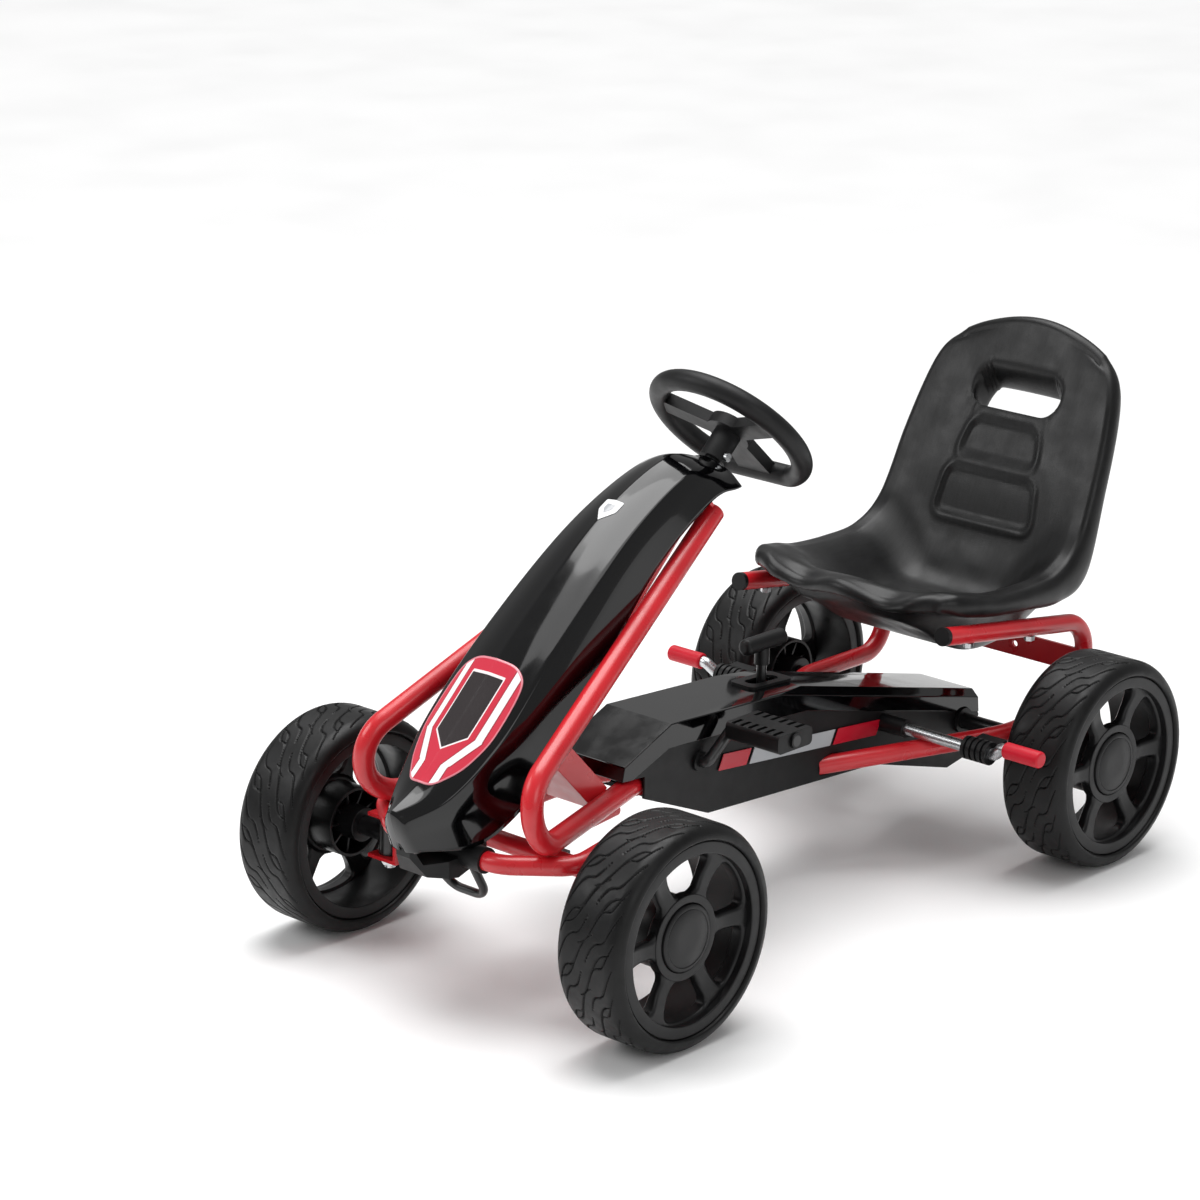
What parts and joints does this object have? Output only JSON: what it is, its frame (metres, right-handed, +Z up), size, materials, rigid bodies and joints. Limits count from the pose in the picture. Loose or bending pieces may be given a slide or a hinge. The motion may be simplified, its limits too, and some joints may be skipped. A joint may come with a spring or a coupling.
{
  "type": "pedal go kart",
  "caption": "Children's ride-on pedal go kart with steered front wheels, pedal crank and chain drive to the rear axle, hand brake, shift lever and bucket seat.",
  "frame": {"origin": "on the floor at the centre of the bounding box", "axes": "+X forward, +Y to the driver's left, +Z up"},
  "size_m": [1.1496, 0.58, 0.6389],
  "materials": {
    "red_powder_coat": "gloss powder coat",
    "eva_tyre": "semi-gloss moulded EVA foam",
    "wheel_plastic": "satin injection-moulded polypropylene",
    "gloss_black_plastic": "high gloss ABS",
    "matte_black_plastic": "fine-textured polypropylene",
    "seat_plastic": "satin grained blow-moulded HDPE",
    "red_grip": "soft PVC grip",
    "badge_print": "printed vinyl on plastic",
    "zinc_steel": "zinc plated",
    "black_steel": "black enamel",
    "chain_steel": "oiled steel"
  },
  "bodies": {
    "frame": {"hoop_left": "red_powder_coat", "hoop_right": "red_powder_coat", "bumper_tube": "red_powder_coat", "axle_beam": "red_powder_coat", "front_stays": "red_powder_coat", "kingpin_yokes": "red_powder_coat", "kingpins": "zinc_steel", "column_tube": "red_powder_coat", "column_bushes": "matte_black_plastic", "steering_head_plate": "red_powder_coat", "column_bracket": "red_powder_coat", "seat_rail_left": "red_powder_coat", "seat_rail_right": "red_powder_coat", "rear_crossbar": "red_powder_coat", "chassis_channel": "red_powder_coat", "nose_cover": "gloss_black_plastic", "nose_chin": "matte_black_plastic", "badge_panel": "badge_print", "tow_loop": "black_steel", "case_top": "gloss_black_plastic", "case_lower": "matte_black_plastic", "case_bushes": "matte_black_plastic", "brake_sleeves": "matte_black_plastic", "tube_plugs": "matte_black_plastic", "chain": "chain_steel", "shift_bezel": "matte_black_plastic", "chassis_fasteners": "zinc_steel", "seat": "seat_plastic"},
    "steering": {"steering_wheel": "matte_black_plastic", "steering_column": "black_steel", "pitman_arm": "black_steel", "column_screw": "zinc_steel"},
    "knuckle_left": {"knuckle_left": "black_steel", "knuckle_fasteners_left": "zinc_steel"},
    "knuckle_right": {"knuckle_right": "black_steel", "knuckle_fasteners_right": "zinc_steel"},
    "tie_rod": {"tie_rod": "black_steel"},
    "front_wheel_left": {"tyre_front_left": "eva_tyre", "rim_front_left": "wheel_plastic", "hub_cap_front_left": "wheel_plastic"},
    "front_wheel_right": {"tyre_front_right": "eva_tyre", "rim_front_right": "wheel_plastic", "hub_cap_front_right": "wheel_plastic"},
    "crank": {"crankshaft": "black_steel", "chainring": "chain_steel", "pedal_caps": "matte_black_plastic"},
    "pedal_left": {"pedal_left": "matte_black_plastic"},
    "pedal_right": {"pedal_right": "matte_black_plastic"},
    "rear_axle": {"rear_axle": "zinc_steel", "axle_sprocket": "chain_steel", "axle_spacers": "black_steel", "axle_nuts": "zinc_steel", "tyres_rear": "eva_tyre", "rims_rear": "wheel_plastic", "hub_caps_rear": "wheel_plastic"},
    "shifter": {"shift_lever": "black_steel", "shift_grip": "matte_black_plastic"},
    "brake": {"brake_shaft": "zinc_steel", "brake_pads": "matte_black_plastic", "brake_grips": "red_grip"}
  },
  "joints": [
    {"name": "steer_left", "type": "hinge", "parent": "frame", "child": "knuckle_left", "pos_m": [0.409, 0.168, 0.127], "axis": [0, 0, 1], "range_deg": [-24, 24]},
    {"name": "steer_right", "type": "hinge", "parent": "frame", "child": "knuckle_right", "pos_m": [0.409, -0.168, 0.127], "axis": [0, 0, 1], "range_deg": [-24, 24]},
    {"name": "tie_rod_pivot", "type": "hinge", "parent": "knuckle_left", "child": "tie_rod", "pos_m": [0.341, 0.168, 0.1345], "axis": [0, 0, 1], "range_deg": [-24, 24]},
    {"name": "steering_turn", "type": "hinge", "parent": "frame", "child": "steering", "pos_m": [0.032, 0, 0.56], "axis": [-0.7221, 0, 0.6918], "range_deg": [-17.26, 17.26]},
    {"name": "front_left_roll", "type": "hinge", "parent": "knuckle_left", "child": "front_wheel_left", "pos_m": [0.409, 0.245, 0.127], "axis": [0, 1, 0], "continuous": true},
    {"name": "front_right_roll", "type": "hinge", "parent": "knuckle_right", "child": "front_wheel_right", "pos_m": [0.409, -0.245, 0.127], "axis": [0, 1, 0], "continuous": true},
    {"name": "rear_axle_roll", "type": "hinge", "parent": "frame", "child": "rear_axle", "pos_m": [-0.361, 0, 0.127], "axis": [0, 1, 0], "continuous": true},
    {"name": "crank_turn", "type": "hinge", "parent": "frame", "child": "crank", "pos_m": [0.13, 0, 0.198], "axis": [0, 1, 0], "continuous": true},
    {"name": "pedal_left_turn", "type": "hinge", "parent": "crank", "child": "pedal_left", "pos_m": [0.088, 0.115, 0.238], "axis": [0, 1, 0], "continuous": true},
    {"name": "pedal_right_turn", "type": "hinge", "parent": "crank", "child": "pedal_right", "pos_m": [0.172, -0.115, 0.158], "axis": [0, 1, 0], "continuous": true},
    {"name": "shift_swing", "type": "hinge", "parent": "frame", "child": "shifter", "pos_m": [-0.034, 0, 0.19], "axis": [0, 1, 0], "range_deg": [-12, 12]},
    {"name": "brake_pull", "type": "hinge", "parent": "frame", "child": "brake", "pos_m": [-0.206, 0, 0.162], "axis": [0, -1, 0], "range_deg": [0, 18], "stiffness_Nm_per_rad": 1.5}
  ],
  "couplings": [
    {"joint": "steer_right", "follows": "steer_left", "ratio": 1},
    {"joint": "tie_rod_pivot", "follows": "steer_left", "ratio": -1},
    {"joint": "steering_turn", "follows": "steer_left", "ratio": 0.717},
    {"joint": "crank_turn", "follows": "rear_axle_roll", "ratio": 0.55556}
  ]
}
